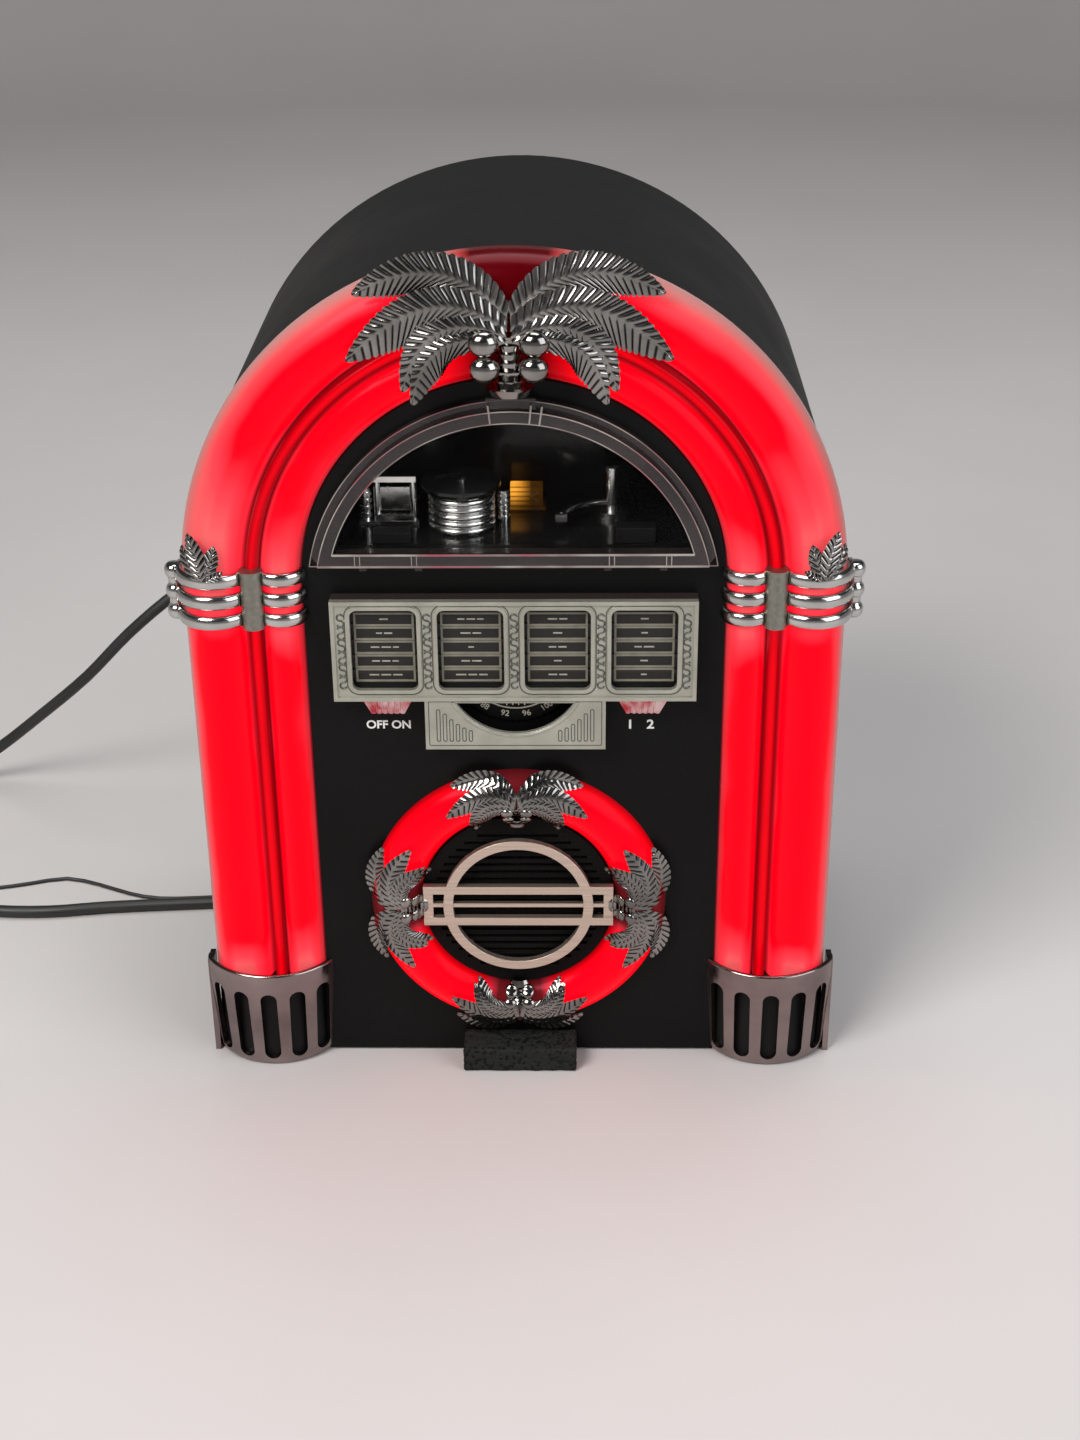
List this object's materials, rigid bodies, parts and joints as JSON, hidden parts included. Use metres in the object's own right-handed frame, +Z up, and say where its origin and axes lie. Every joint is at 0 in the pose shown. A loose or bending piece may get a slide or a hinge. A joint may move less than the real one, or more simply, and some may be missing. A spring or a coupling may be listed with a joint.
{
  "type": "jukebox radio",
  "caption": "Miniature arched jukebox-style table radio with red light tubes, a diorama window, tuning dial, slide switches, round speaker, power lead and aerial wire.",
  "frame": {"origin": "on the table, at the centre of the cabinet's footprint", "axes": "+Z up, front of the radio towards -Y, +X to the viewer's right when facing the front"},
  "size_m": [0.4117, 0.2639, 0.3066],
  "materials": {
    "case": "fine matte black moulding",
    "glow": "translucent red light tube",
    "plated": "bright plating",
    "silver": "satin silver",
    "clear": "clear moulding",
    "amber": "amber lens",
    "record": "grooved black",
    "rack": "olive grey",
    "strip": "dark card",
    "trim": "brushed",
    "steel": "plain",
    "brass": "turned",
    "pale_plastic": "pale",
    "board": "resin paper",
    "ferrite": "sintered",
    "cone": "paper",
    "rubber": "matte black"
  },
  "bodies": {
    "cabinet": {"cabinet_shell": "case", "rear_cover": "case", "cover_screws": "steel", "front_panel": "case", "arch_tube": "glow", "left_column_tube": "glow", "right_column_tube": "glow", "arch_lamp_strip": "pale_plastic", "column_lamp_strips": "pale_plastic", "left_clamp": "plated", "right_clamp": "plated", "clamp_sprigs": "plated", "left_foot_cup": "plated", "right_foot_cup": "plated", "foot_sockets": "case", "front_foot": "rubber", "rear_feet": "rubber", "crest_palm": "plated", "window_cover": "clear", "stage": "case", "record_stack": "plated", "top_record": "record", "record_gripper": "plated", "selector_post": "plated", "tone_arm": "plated", "pilot_lamp": "amber", "stage_blocks": "case", "title_plate": "silver", "title_rack": "rack", "title_strips": "strip", "tuning_capacitor": "pale_plastic", "band_switch_body": "steel", "light_switch_body": "steel", "volume_control": "steel", "main_board": "board", "board_screws": "steel", "board_parts": "pale_plastic", "ferrite_aerial": "ferrite", "transformer": "steel", "speaker_ring": "glow", "ring_lamp_board": "pale_plastic", "speaker_palms": "plated", "speaker_grille": "case", "grille_trim": "trim", "speaker_basket": "steel", "speaker_cone": "cone", "speaker_magnet": "steel", "lead_gland": "rubber", "power_lead": "rubber", "power_lead_coil": "rubber", "power_plug": "rubber", "aerial_grommet": "rubber", "aerial_wire": "rubber", "aerial_coil": "rubber"},
    "dial": {"tuning_dial": "case", "tuning_shaft": "brass"},
    "volume": {"volume_wheel": "case"},
    "light_knob": {"light_switch": "plated"},
    "band_knob": {"band_switch": "plated"}
  },
  "joints": [
    {"name": "tuning_turn", "type": "hinge", "parent": "cabinet", "child": "dial", "pos_m": [0, -0.0625, 0.1612], "axis": [0, 1, 0], "range_deg": [-90, 90]},
    {"name": "volume_turn", "type": "hinge", "parent": "cabinet", "child": "volume", "pos_m": [0.0994, -0.023, 0.1605], "axis": [0, 1, 0], "range_deg": [-150, 150]},
    {"name": "light_slide", "type": "slide", "parent": "cabinet", "child": "light_knob", "axis": [1, 0, 0], "range_m": [0, 0.004]},
    {"name": "band_slide", "type": "slide", "parent": "cabinet", "child": "band_knob", "axis": [1, 0, 0], "range_m": [-0.004, 0]}
  ]
}
